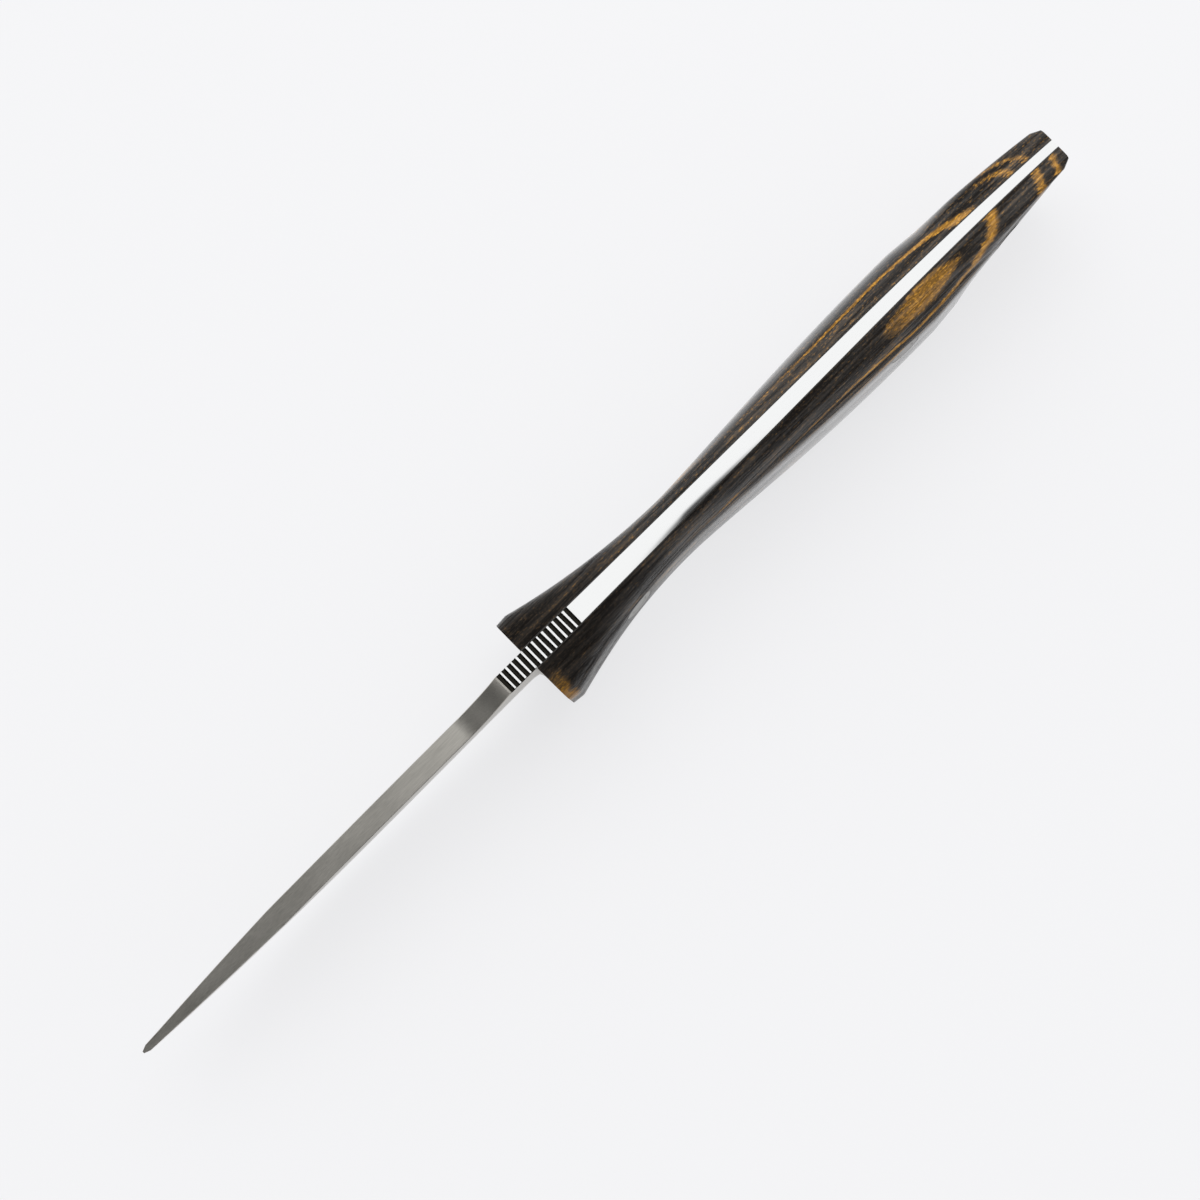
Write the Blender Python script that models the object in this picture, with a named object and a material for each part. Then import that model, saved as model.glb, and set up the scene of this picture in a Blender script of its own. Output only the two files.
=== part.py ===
"""Fixed-blade hunting knife with a drop-point blade, a jimped thumb ramp and a tapered full tang.

The steel is one piece from tip to butt. Two wooden scales are bonded and bolted to the tang, and
a tube for a wrist lanyard runs through the butt. Every piece of the handle is lofted from one
family of ribs, so steel, bond and wood stay flush with each other all the way round.

Design frame: X runs towards the tip from the front of the scales, Z runs up from the top of the
thumb rest, and Y = 0 is the middle of the steel. Everything hangs on an empty that puts the
knife's own origin under its middle, at its lowest point. Sizes are in metres.
"""

import math

import bmesh
import bpy
import numpy as np

# Steel, side view: lengths along X, heights below the thumb rest
BLADE_LENGTH = 0.0980
STEEL_THICKNESS = 0.0040
THUMB_REST_LENGTH = 0.0066
RAMP_LENGTH = 0.0113
RAMP_RISE = 0.0048
TIP_DROP = 0.0063
SPINE_CURVE = 1.7
GUARD_DEPTH = 0.0292
HEEL_DISTANCE = 0.0026
HEEL_DEPTH = 0.0260
BELLY_DISTANCE = 0.0480
BELLY_DEPTH = 0.0276
BELLY_CURVE = 2.1

# Grind: flat bevels from the edge up, a finer bevel along the edge, and the plunge at the heel
GRIND_HEIGHT = 0.0187
PLUNGE_LENGTH = 0.0010
EDGE_SHOULDER = 0.00050
TIP_SHOULDER = 0.00120
TIP_STRETCH = 0.0280
EDGE_ANGLE = math.radians(27.0)
EDGE_FLAT = 0.00006
MOST_EDGE_SHARE = 0.30
MOST_GRIND_SHARE = 0.95
TIP_FLAT = 0.00035

# Jimping: half-round grooves across the thumb rest, on over the front of the tang
JIMPING_COUNT = 14
JIMPING_PITCH = 0.00127
JIMPING_WIDTH = 0.00090
JIMPING_DEPTH = 0.00045

# Handle, seen from above: distances behind the front of the scales
HANDLE_LENGTH = 0.1305
BUTT_THICKNESS = 0.0016
FLARE_WIDTH = 0.0199
WAIST_WIDTH = 0.0094
WAIST_DISTANCE = 0.0369
SWELL_WIDTH = 0.0141
SWELL_DISTANCE = 0.0960
BUTT_WIDTH = 0.0072
FLARE_CURVE = 2.0
RISE_CURVE = 0.67
TAIL_CURVE = 1.11

# Handle, side view
HUMP_RISE = 0.0011
HUMP_DISTANCE = 0.0800
BUTT_DROP = 0.0080
TAIL_DROP_CURVE = 2.6
GROOVE_DISTANCE = 0.0210
GROOVE_DEPTH = 0.0245
PALM_DISTANCE = 0.0700
PALM_DEPTH = 0.0310
BUTT_HEEL_DEPTH = 0.0275
BUTT_RAKE = 0.0065

# Handle section at the flare, the waist, the end of the palm, the tail and the butt. Both powers at 2
# make an ellipse; above the middle more roundness flattens the spine and more squareness the sides,
# below it one power does both. A positive fullness puts the widest part low.
PALM_TO_BUTT = 0.0280
TAIL_TO_BUTT = 0.0207
SPINE_ROUNDNESS = (2.1, 1.8, 1.8, 1.8, 6.6)
SPINE_SQUARENESS = (10.0, 9.4, 7.6, 9.1, 9.8)
BELLY_SQUARENESS = 2.35
FULLNESS = (0.16, 0.41, 0.225, -0.19, -0.43)

# Bevelled front and butt edges of the scales: how far along the handle, and how deep at the end
FRONT_EASE_LENGTH = 0.0024
FRONT_EASE_DEPTH = 0.00085
BUTT_EASE_LENGTH = 0.0018
BUTT_EASE_DEPTH = 0.00055

# Joint between tang and scales: a film of epoxy with a hair of room on each side
BOND_THICKNESS = 0.00018
BOND_GAP = 0.00003

# Handle bolts: a threaded stud and two round nuts, ground flush with the wood
STUD_DIAMETER = 0.0035
NUT_DIAMETER = 0.00635
SEAT_WEB = 0.0018
BOLT_GAP = 0.0001
FRONT_BOLT_DISTANCE = 0.0206
FRONT_BOLT_DEPTH = 0.0120
REAR_BOLT_TO_TUBE = 0.0275
REAR_BOLT_DEPTH = 0.0115

# Lanyard tube
TUBE_DIAMETER = 0.00794
TUBE_BORE = 0.00635
TUBE_TO_BUTT = 0.0170
TUBE_DEPTH = 0.0145

# Fineness of the facets
EASE_STEPS = 2
HANDLE_STEPS = 27
RIM_STEPS = 17
SIDE_POINTS = 6
HALVINGS = 48
RAMP_STEPS = 7
PLUNGE_STEPS = 7
BLADE_STEPS = 9
POINT_STEPS = 9
TURNED_SIDES = 32
GROOVE_SIDES = 12

RAMP_FOOT = THUMB_REST_LENGTH + RAMP_LENGTH
TIP_DEPTH = RAMP_RISE + TIP_DROP
TUBE_DISTANCE = HANDLE_LENGTH - TUBE_TO_BUTT
REAR_BOLT_DISTANCE = TUBE_DISTANCE - REAR_BOLT_TO_TUBE
LOWEST = max(PALM_DEPTH, GUARD_DEPTH, BELLY_DEPTH, BUTT_HEEL_DEPTH)


def ease(share):
    """0 to 1 with no slope at either end."""
    return (1.0 - math.cos(math.pi * min(max(share, 0.0), 1.0))) / 2.0


def between(low, high, share):
    return low + (high - low) * share


def spine_height(x):
    """Top of the steel ahead of the scales: thumb rest, hollow ramp, then the drop to the tip."""
    if x <= THUMB_REST_LENGTH:
        return 0.0
    if x <= RAMP_FOOT:
        radius = (RAMP_LENGTH**2 + RAMP_RISE**2) / (2.0 * RAMP_RISE)
        return radius - math.sqrt(radius**2 - (RAMP_FOOT - x) ** 2) - RAMP_RISE
    share = (x - RAMP_FOOT) / (BLADE_LENGTH - RAMP_FOOT)
    return -RAMP_RISE - TIP_DROP * share**SPINE_CURVE


def edge_height(x):
    """Bottom of the steel ahead of the scales: guard, heel, straight edge and belly."""
    if x <= HEEL_DISTANCE:
        return -between(GUARD_DEPTH, HEEL_DEPTH, ease(x / HEEL_DISTANCE))
    if x <= BELLY_DISTANCE:
        share = (x - HEEL_DISTANCE) / (BELLY_DISTANCE - HEEL_DISTANCE)
        return -between(HEEL_DEPTH, BELLY_DEPTH, ease(share))
    share = (x - BELLY_DISTANCE) / (BLADE_LENGTH - BELLY_DISTANCE)
    return -between(BELLY_DEPTH, TIP_DEPTH + TIP_FLAT, share**BELLY_CURVE)


def ground_thickness(x, height):
    """Thickness at a height over the edge: edge bevel, flat bevel or full steel, the least of them."""
    share = max(0.0, 1.0 - (BLADE_LENGTH - x) / TIP_STRETCH)
    shoulder = between(EDGE_SHOULDER, TIP_SHOULDER, share)
    edge_bevel = EDGE_FLAT + 2.0 * height * math.tan(EDGE_ANGLE)
    flat_bevel = shoulder + (STEEL_THICKNESS - shoulder) * height / GRIND_HEIGHT
    ground = min(edge_bevel, flat_bevel, STEEL_THICKNESS)
    return between(STEEL_THICKNESS, ground, ease(x / PLUNGE_LENGTH))


def shoulder_height(x, height):
    """Height of the line where the edge bevel meets the flat bevel, inside a section this high."""
    share = max(0.0, 1.0 - (BLADE_LENGTH - x) / TIP_STRETCH)
    shoulder = between(EDGE_SHOULDER, TIP_SHOULDER, share)
    slope = 2.0 * math.tan(EDGE_ANGLE) - (STEEL_THICKNESS - shoulder) / GRIND_HEIGHT
    return min((shoulder - EDGE_FLAT) / slope, MOST_EDGE_SHARE * height)


def handle_top(back):
    if back <= HUMP_DISTANCE:
        return HUMP_RISE * ease(back / HUMP_DISTANCE)
    share = (back - HUMP_DISTANCE) / (HANDLE_LENGTH - HUMP_DISTANCE)
    return HUMP_RISE - (HUMP_RISE + BUTT_DROP) * share**TAIL_DROP_CURVE


def handle_bottom(back):
    """Guard, finger groove, palm and butt heel, each reached with no slope."""
    if back <= GROOVE_DISTANCE:
        return -between(GUARD_DEPTH, GROOVE_DEPTH, ease(back / GROOVE_DISTANCE))
    if back <= PALM_DISTANCE:
        share = (back - GROOVE_DISTANCE) / (PALM_DISTANCE - GROOVE_DISTANCE)
        return -between(GROOVE_DEPTH, PALM_DEPTH, ease(share))
    share = (back - PALM_DISTANCE) / (HANDLE_LENGTH - BUTT_RAKE - PALM_DISTANCE)
    return -between(PALM_DEPTH, BUTT_HEEL_DEPTH, ease(share))


def handle_width(back):
    if back <= WAIST_DISTANCE:
        return between(WAIST_WIDTH, FLARE_WIDTH, (1.0 - back / WAIST_DISTANCE) ** FLARE_CURVE)
    if back <= SWELL_DISTANCE:
        share = (back - WAIST_DISTANCE) / (SWELL_DISTANCE - WAIST_DISTANCE)
        return between(WAIST_WIDTH, SWELL_WIDTH, ease(share**RISE_CURVE))
    share = (back - SWELL_DISTANCE) / (HANDLE_LENGTH - SWELL_DISTANCE)
    return between(SWELL_WIDTH, BUTT_WIDTH, share**TAIL_CURVE)


def tang_half(x):
    """Half the tang's thickness: full steel at the front, thin at the butt."""
    return between(STEEL_THICKNESS, BUTT_THICKNESS, -x / HANDLE_LENGTH) / 2.0


def bond_inside(x):
    return tang_half(x) + BOND_GAP


def bond_outside(x):
    return bond_inside(x) + BOND_THICKNESS


def scale_inside(x):
    return bond_outside(x) + BOND_GAP


class Rib:
    """One section of the handle. It leans a little more towards the butt, to follow the butt's rake."""

    def __init__(self, back, inset=0.0):
        lean = back / HANDLE_LENGTH * BUTT_RAKE
        self.top = (-back, handle_top(back))
        self.bottom = (lean - back, handle_bottom(back - lean) + inset)
        self.half_width = handle_width(back) / 2.0 - inset
        palm = HANDLE_LENGTH - PALM_TO_BUTT
        tail = HANDLE_LENGTH - TAIL_TO_BUTT
        named = (0.0, WAIST_DISTANCE, palm, tail, HANDLE_LENGTH)
        self.roundness = np.interp(back, named, SPINE_ROUNDNESS)
        self.squareness = np.interp(back, named, SPINE_SQUARENESS)
        self.fullness = np.interp(back, named, FULLNESS)

    def point(self, angle):
        """A point of the left rim: angle 0 is the spine, pi the belly."""
        cosine = math.cos(angle)
        across = 2.0 / (self.roundness if cosine > 0.0 else BELLY_SQUARENESS)
        down = 2.0 / (self.squareness if cosine > 0.0 else BELLY_SQUARENESS)
        reach = math.copysign(abs(cosine) ** down, cosine)
        share = (1.0 - reach) / 2.0
        width = self.half_width * (1.0 - self.fullness * cosine)
        return (
            between(self.top[0], self.bottom[0], share),
            width * abs(math.sin(angle)) ** across,
            between(self.top[1], self.bottom[1], share),
        )

    def angle_at(self, plane, start):
        """The angle at which the rim leaves a plane y = plane(x), sought from the spine or the belly."""
        inner, outer = start, math.pi / 2.0
        for _ in range(HALVINGS):
            middle = (inner + outer) / 2.0
            x, y, _z = self.point(middle)
            if y < plane(x):
                inner = middle
            else:
                outer = middle
        return outer

    def rim(self, plane, steps):
        """Points of the left rim outside the plane, from the spine round to the belly."""
        first = self.angle_at(plane, 0.0)
        last = self.angle_at(plane, math.pi)
        return [self.point(angle) for angle in np.linspace(first, last, steps)]


def handle_stations():
    """(distance behind the front, inset of the bevelled ends) for each rib, front to butt."""
    shares = np.linspace(0.0, 1.0, EASE_STEPS, endpoint=False)
    front = [(FRONT_EASE_LENGTH * s, FRONT_EASE_DEPTH * (1.0 - s)) for s in shares]
    butt = [(BUTT_EASE_LENGTH * s, BUTT_EASE_DEPTH * (1.0 - s)) for s in shares]
    middle = np.linspace(FRONT_EASE_LENGTH, HANDLE_LENGTH - BUTT_EASE_LENGTH, HANDLE_STEPS)
    stations = front + [(back, 0.0) for back in middle]
    return stations + [(HANDLE_LENGTH - back, inset) for back, inset in reversed(butt)]


def mirrored(points):
    return [(x, -y, z) for x, y, z in points]


def loft(name, rings, closed=False):
    """A skin over a row of rings, capped at both ends, or joined end to end."""
    shape = bmesh.new()
    rows = [[shape.verts.new(point) for point in ring] for ring in rings]
    pairs = list(zip(rows, rows[1:]))
    if closed:
        pairs.append((rows[-1], rows[0]))
    else:
        shape.faces.new(rows[0])
        shape.faces.new(rows[-1])
    for row, following in pairs:
        for i in range(len(row)):
            shape.faces.new((row[i - 1], row[i], following[i], following[i - 1]))
    bmesh.ops.recalc_face_normals(shape, faces=shape.faces)
    mesh = bpy.data.meshes.new(name)
    shape.to_mesh(mesh)
    shape.free()
    return mesh


def turned_ring(radius, x, y, z, sides=TURNED_SIDES):
    """A ring about an axis that runs across the knife."""
    turns = np.arange(sides) * 2.0 * math.pi / sides
    return [(x + radius * math.cos(a), y, z + radius * math.sin(a)) for a in turns]


def finish(name, colour, roughness, metallic):
    material = bpy.data.materials.new(name)
    material.use_nodes = True
    shader = material.node_tree.nodes["Principled BSDF"]
    shader.inputs["Base Color"].default_value = (*colour, 1.0)
    shader.inputs["Roughness"].default_value = roughness
    shader.inputs["Metallic"].default_value = metallic
    return material


def place(name, mesh):
    piece = bpy.data.objects.new(name, mesh)
    bpy.context.scene.collection.objects.link(piece)
    piece.parent = knife
    return piece


def add_piece(name, mesh, material, sharp_from=30.0):
    mesh.materials.append(material)
    mesh.shade_smooth()
    mesh.set_sharp_from_angle(angle=math.radians(sharp_from))
    return place(name, mesh)


def add_guide(name, mesh):
    guide = place(name, mesh)
    guide.hide_render = True
    guide.display_type = "WIRE"
    return guide


def combine(piece, operation, *guides):
    for guide in guides:
        step = piece.modifiers.new(guide.name, "BOOLEAN")
        step.operation = operation
        step.solver = "EXACT"
        step.object = guide


def tang_ring(back):
    """Steel between the scales: crowned at spine and belly with them, flat on its sides."""
    rib = Rib(back)
    corner = rib.point(rib.angle_at(tang_half, 0.0))
    quarter = rib.point(rib.angle_at(lambda x: tang_half(x) / 2.0, 0.0))
    foot = rib.point(rib.angle_at(tang_half, math.pi))
    half = [quarter]
    for share in np.linspace(0.0, 1.0, SIDE_POINTS):
        x = between(corner[0], foot[0], share)
        half.append((x, tang_half(x), between(corner[2], foot[2], share)))
    return [rib.point(0.0)] + half + [rib.point(math.pi)] + mirrored(reversed(half))


def blade_ring(x):
    """Steel ahead of the scales, with the same points as a tang ring: spine, bevels and edge."""
    top, low = spine_height(x), edge_height(x)
    height = top - low
    grind = min(GRIND_HEIGHT, MOST_GRIND_SHARE * height)
    shoulder = shoulder_height(x, height)
    heights = [height, *np.linspace(grind, shoulder, SIDE_POINTS - 2), 0.0]
    side = [(x, ground_thickness(x, h) / 2.0, low + h) for h in heights]
    half = [(x, side[0][1] / 2.0, top)] + side
    return [(x, 0.0, top)] + half + [(x, 0.0, low)] + mirrored(reversed(half))


def blade_stations():
    """Closer where the plunge, the ramp and the point curve most."""
    plunge = np.linspace(0.0, PLUNGE_LENGTH, PLUNGE_STEPS)[1:]
    ramp = np.linspace(THUMB_REST_LENGTH, RAMP_FOOT, RAMP_STEPS)
    point_start = BLADE_LENGTH - TIP_STRETCH
    middle = np.linspace(RAMP_FOOT, point_start, BLADE_STEPS)[1:]
    point = [BLADE_LENGTH - TIP_STRETCH * (1.0 - s) ** 2 for s in np.linspace(0.0, 1.0, POINT_STEPS)][1:]
    return [*plunge, *ramp, *middle, *point]


def steel_mesh():
    tang = [tang_ring(back) for back, _inset in reversed(handle_stations())]
    return loft("blade", tang + [blade_ring(x) for x in blade_stations()])


def jimping_mesh():
    """One round bar for each groove, sunk into the thumb rest and the front of the tang."""
    shape = bmesh.new()
    radius = JIMPING_WIDTH / 2.0
    land = JIMPING_PITCH - JIMPING_WIDTH
    reach = STEEL_THICKNESS
    for i in range(JIMPING_COUNT):
        x = THUMB_REST_LENGTH - land - radius - i * JIMPING_PITCH
        top = spine_height(x) if x > 0.0 else handle_top(-x)
        z = top - JIMPING_DEPTH + radius
        ends = [turned_ring(radius, x, y, z, GROOVE_SIDES) for y in (-reach, reach)]
        bar = loft("groove", ends)
        shape.from_mesh(bar)
        bpy.data.meshes.remove(bar)
    mesh = bpy.data.meshes.new("jimping")
    shape.to_mesh(mesh)
    shape.free()
    return mesh


def scale_mesh(name, side):
    rings = [Rib(back, inset).rim(scale_inside, RIM_STEPS) for back, inset in handle_stations()]
    return loft(name, rings if side > 0 else [mirrored(ring) for ring in rings])


def bond_mesh(name, side):
    """A thin sheet between tang and scale, out to the rim."""
    rings = []
    for back, inset in handle_stations():
        rib = Rib(back, inset)
        inner = rib.rim(bond_inside, 2)
        outer = rib.rim(bond_outside, 2)
        rings.append([inner[0], outer[0], outer[1], inner[1]])
    return loft(name, rings if side > 0 else [mirrored(ring) for ring in rings])


def contour_mesh():
    """The whole outside of the handle, to grind the bolts and the tube flush with."""
    rings = []
    for back, inset in handle_stations():
        rib = Rib(back, inset)
        rim = rib.rim(scale_inside, RIM_STEPS)
        rings.append(rim + mirrored(reversed(rim)))
    return loft("handle_contour", rings)


def bolt_hole_mesh(name, x, z, seat):
    """A stepped hole: stud clearance in the middle, a counterbore for a nut from each side."""
    small = STUD_DIAMETER / 2.0 + BOLT_GAP
    large = NUT_DIAMETER / 2.0 + BOLT_GAP
    far = FLARE_WIDTH
    profile = ((large, -far), (large, -seat), (small, -seat), (small, seat), (large, seat), (large, far))
    return loft(name, [turned_ring(r, x, y, z) for r, y in profile])


def nut_mesh(name, x, z, seat, side):
    outer = NUT_DIAMETER / 2.0
    inner = STUD_DIAMETER / 2.0 + BOLT_GAP
    near = side * (seat + BOLT_GAP)
    far = side * FLARE_WIDTH
    profile = ((outer, near), (outer, far), (inner, far), (inner, near))
    return loft(name, [turned_ring(r, x, y, z) for r, y in profile], closed=True)


def rod_mesh(name, radius, x, z):
    return loft(name, [turned_ring(radius, x, y, z) for y in (-FLARE_WIDTH, FLARE_WIDTH)])


def tube_mesh(name, x, z):
    outer, inner, far = TUBE_DIAMETER / 2.0, TUBE_BORE / 2.0, FLARE_WIDTH
    profile = ((outer, -far), (outer, far), (inner, far), (inner, -far))
    return loft(name, [turned_ring(r, x, y, z) for r, y in profile], closed=True)


for leftover in list(bpy.data.objects):
    bpy.data.objects.remove(leftover)

knife = bpy.data.objects.new("knife", None)
bpy.context.scene.collection.objects.link(knife)
knife.location = ((HANDLE_LENGTH - BLADE_LENGTH) / 2.0, 0.0, LOWEST)

satin_steel = finish("satin_steel", (0.55, 0.54, 0.51), 0.32, 1.0)
bright_steel = finish("bright_steel", (0.72, 0.71, 0.69), 0.20, 1.0)
dark_wood = finish("dark_wood", (0.055, 0.032, 0.018), 0.35, 0.0)
dark_epoxy = finish("dark_epoxy", (0.02, 0.017, 0.015), 0.5, 0.0)

handle_contour = add_guide("handle_contour", contour_mesh())
jimping = add_guide("jimping_grooves", jimping_mesh())

bolts = (
    ("front", -FRONT_BOLT_DISTANCE, -FRONT_BOLT_DEPTH),
    ("rear", -REAR_BOLT_DISTANCE, -REAR_BOLT_DEPTH),
)
holes = []
for name, x, z in bolts:
    seat = scale_inside(x) + SEAT_WEB
    holes.append(add_guide(f"{name}_bolt_hole", bolt_hole_mesh(f"{name}_bolt_hole", x, z, seat)))
    stud = add_piece(f"{name}_stud", rod_mesh(f"{name}_stud", STUD_DIAMETER / 2.0, x, z), bright_steel)
    combine(stud, "INTERSECT", handle_contour)
    for side, side_name in ((1, "left"), (-1, "right")):
        nut_name = f"{name}_{side_name}_nut"
        nut = add_piece(nut_name, nut_mesh(nut_name, x, z, seat, side), bright_steel)
        combine(nut, "INTERSECT", handle_contour)

tube_hole = rod_mesh("lanyard_hole", TUBE_DIAMETER / 2.0 + BOLT_GAP, -TUBE_DISTANCE, -TUBE_DEPTH)
holes.append(add_guide("lanyard_hole", tube_hole))
tube = add_piece("lanyard_tube", tube_mesh("lanyard_tube", -TUBE_DISTANCE, -TUBE_DEPTH), bright_steel)
combine(tube, "INTERSECT", handle_contour)

blade = add_piece("blade", steel_mesh(), satin_steel, 12.0)
combine(blade, "DIFFERENCE", jimping, *holes)

for side, side_name in ((1, "left"), (-1, "right")):
    scale = add_piece(f"{side_name}_scale", scale_mesh(f"{side_name}_scale", side), dark_wood)
    bond = add_piece(f"{side_name}_bond", bond_mesh(f"{side_name}_bond", side), dark_epoxy)
    combine(scale, "DIFFERENCE", *holes)
    combine(bond, "DIFFERENCE", *holes)
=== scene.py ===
# %% [markdown]
# # A hunting knife, seen along its spine
#
# The knife is one piece of steel from tip to butt with a wooden scale bonded to each side of its tang.
# The solids of the frame already have the right size and place. This lesson gives each of them a finer
# surface and a real finish, and lights the knife like a small product shot on a white table.

# %% Load the frame
import math
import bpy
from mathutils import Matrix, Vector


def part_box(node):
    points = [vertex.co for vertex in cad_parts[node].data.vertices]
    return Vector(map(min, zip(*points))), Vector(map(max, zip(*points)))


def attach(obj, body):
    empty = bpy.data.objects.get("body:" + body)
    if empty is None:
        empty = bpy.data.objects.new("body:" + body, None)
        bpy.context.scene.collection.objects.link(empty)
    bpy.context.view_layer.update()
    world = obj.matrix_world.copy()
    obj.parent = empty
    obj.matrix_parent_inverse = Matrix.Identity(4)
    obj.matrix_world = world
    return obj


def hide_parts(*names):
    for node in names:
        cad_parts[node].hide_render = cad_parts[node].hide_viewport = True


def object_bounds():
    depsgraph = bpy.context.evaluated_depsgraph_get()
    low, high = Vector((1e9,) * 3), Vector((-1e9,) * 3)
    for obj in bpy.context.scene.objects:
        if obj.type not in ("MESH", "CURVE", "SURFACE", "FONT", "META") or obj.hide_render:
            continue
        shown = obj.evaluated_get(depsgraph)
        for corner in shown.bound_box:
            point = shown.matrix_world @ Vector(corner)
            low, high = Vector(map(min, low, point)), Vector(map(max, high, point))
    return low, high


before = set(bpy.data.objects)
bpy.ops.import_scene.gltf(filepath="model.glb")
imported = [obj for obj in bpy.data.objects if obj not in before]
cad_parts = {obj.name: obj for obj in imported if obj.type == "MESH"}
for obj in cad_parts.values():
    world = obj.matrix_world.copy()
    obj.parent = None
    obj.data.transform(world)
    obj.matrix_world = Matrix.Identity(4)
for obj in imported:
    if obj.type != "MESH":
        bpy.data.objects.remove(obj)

from types import SimpleNamespace

import bpy
from mathutils import Matrix, Vector

cad_low, cad_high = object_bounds()
print("the knife measures", [f"{1000 * size:.1f} mm" for size in cad_high - cad_low])

# %% [markdown]
# ## Landmarks
#
# The frame's own boxes say where the scales begin and end and how thick the steel is. Distances along
# the handle are counted backwards from the front of the scales, and depths downwards from the thumb
# rest, which is the flat stretch of spine just ahead of the handle.

# %% Read the landmarks
HUMP_RISE = 0.0011
FRONT_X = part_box("left_scale")[1].x
REST_Z = cad_high.z - HUMP_RISE
HANDLE_LENGTH = FRONT_X - cad_low.x
BLADE_LENGTH = cad_high.x - FRONT_X
STEEL_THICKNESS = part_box("blade")[1].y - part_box("blade")[0].y
print(f"blade {1000 * BLADE_LENGTH:.1f} mm, handle {1000 * HANDLE_LENGTH:.1f} mm")

# %% [markdown]
# ## Camera
#
# The knife lies with its spine up, and the camera looks almost straight down on it, leaning a few
# degrees towards the knife's left side so that a sliver of that flank shows. The camera's own axes are
# built first: the knife runs from the lower left of the frame to the upper right. A long lens at one
# metre keeps the outline nearly free of perspective, as in a catalogue picture.

# %% Place the camera
VIEW_LEAN = math.radians(6.0)
KNIFE_SLOPE = math.radians(44.84)
CAMERA_DISTANCE = 1.0
FRAME_WIDTH = 0.2109
AIM = Vector((0.0, 0.00138, REST_Z))

towards_camera = Vector((0.0, math.sin(VIEW_LEAN), math.cos(VIEW_LEAN)))
across_knife = Vector((0.0, math.cos(VIEW_LEAN), -math.sin(VIEW_LEAN)))
along_knife = Vector((-1.0, 0.0, 0.0))
image_right = along_knife * math.cos(KNIFE_SLOPE) + across_knife * math.sin(KNIFE_SLOPE)
image_up = along_knife * math.sin(KNIFE_SLOPE) - across_knife * math.cos(KNIFE_SLOPE)

camera = bpy.data.objects.new("camera", bpy.data.cameras.new("camera"))
bpy.context.scene.collection.objects.link(camera)
turned = Matrix((image_right, image_up, towards_camera)).transposed().to_4x4()
camera.matrix_world = Matrix.Translation(AIM + towards_camera * CAMERA_DISTANCE) @ turned
camera.data.lens = camera.data.sensor_width * CAMERA_DISTANCE / FRAME_WIDTH
bpy.context.scene.camera = camera
print(f"lens {camera.data.lens:.0f} mm at {CAMERA_DISTANCE} m")

# %% [markdown]
# ## Arithmetic with nodes
#
# The handle's shape and the wood's figure both follow rules, and a rule is easiest to read as a
# formula. Wiring a formula out of Math nodes by hand is slow, so a small class stands for a number
# inside a node tree: adding or multiplying two of them adds the Math node and the links. The same
# helpers then serve Geometry Nodes, which shape the pieces, and shader nodes, which colour them.

# %% A number inside a node tree
class Term:
    """A number in a node tree. Arithmetic on it adds Math nodes."""

    def __init__(self, socket):
        self.socket = socket

    def __add__(self, other):
        return calculate("ADD", self, other)

    def __radd__(self, other):
        return calculate("ADD", other, self)

    def __sub__(self, other):
        return calculate("SUBTRACT", self, other)

    def __rsub__(self, other):
        return calculate("SUBTRACT", other, self)

    def __mul__(self, other):
        return calculate("MULTIPLY", self, other)

    def __rmul__(self, other):
        return calculate("MULTIPLY", other, self)

    def __truediv__(self, other):
        return calculate("DIVIDE", self, other)

    def __rtruediv__(self, other):
        return calculate("DIVIDE", other, self)

    def __pow__(self, other):
        return calculate("POWER", self, other)

    def __neg__(self):
        return calculate("MULTIPLY", self, -1.0)


def plug(value, socket):
    """Links a term or a socket to an input, or sets the input to a constant."""
    if isinstance(value, Term):
        value = value.socket
    if isinstance(value, bpy.types.NodeSocket):
        socket.id_data.links.new(value, socket)
    else:
        socket.default_value = value


def add_node(tree, kind, inputs=None, **settings):
    node = tree.nodes.new(kind)
    for name, value in settings.items():
        setattr(node, name, value)
    for name, value in (inputs or {}).items():
        plug(value, node.inputs[name])
    return node


def calculate(operation, *values, clamp=False):
    tree = next(value.socket.id_data for value in values if isinstance(value, Term))
    inputs = dict(enumerate(values))
    return Term(add_node(tree, "ShaderNodeMath", inputs, operation=operation, use_clamp=clamp).outputs[0])


# %% [markdown]
# A few small functions keep the formulas short. Most rules below are built from one idea: how far a
# value is on its way from a start to an end, kept between 0 and 1, and then eased or used to choose.

# %% Small functions on those numbers
def share(value, start, end):
    """How far a value is on its way from start to end, kept within 0 and 1."""
    return calculate("DIVIDE", value - start, end - start, clamp=True)


def between(low, high, part):
    return low + (high - low) * part


def ease(part):
    """0 to 1 with no slope at either end."""
    return (1.0 - calculate("COSINE", part * math.pi)) / 2.0


def above(value, limit):
    return calculate("GREATER_THAN", value, limit)


def choose(test, yes, no):
    return no + (yes - no) * test


def path(value, stops, heights):
    """Straight runs from height to height, one for each pair of stops."""
    result = heights[0]
    for i in range(len(stops) - 1):
        result = result + (heights[i + 1] - heights[i]) * share(value, stops[i], stops[i + 1])
    return result


def vector(tree, x, y, z):
    return add_node(tree, "ShaderNodeCombineXYZ", {"X": x, "Y": y, "Z": z}).outputs[0]


def parts_of(socket):
    node = add_node(socket.id_data, "ShaderNodeSeparateXYZ", {"Vector": socket})
    return [Term(output) for output in node.outputs]


# %% [markdown]
# ## From a tree to a piece
#
# Each piece is made by a Geometry Nodes tree whose sizes are named inputs. The tree's result is turned
# into a plain mesh straight away, because the finished piece should not depend on a live modifier. The
# piece then rides on the knife and stands for the solid that it refines.

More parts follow.
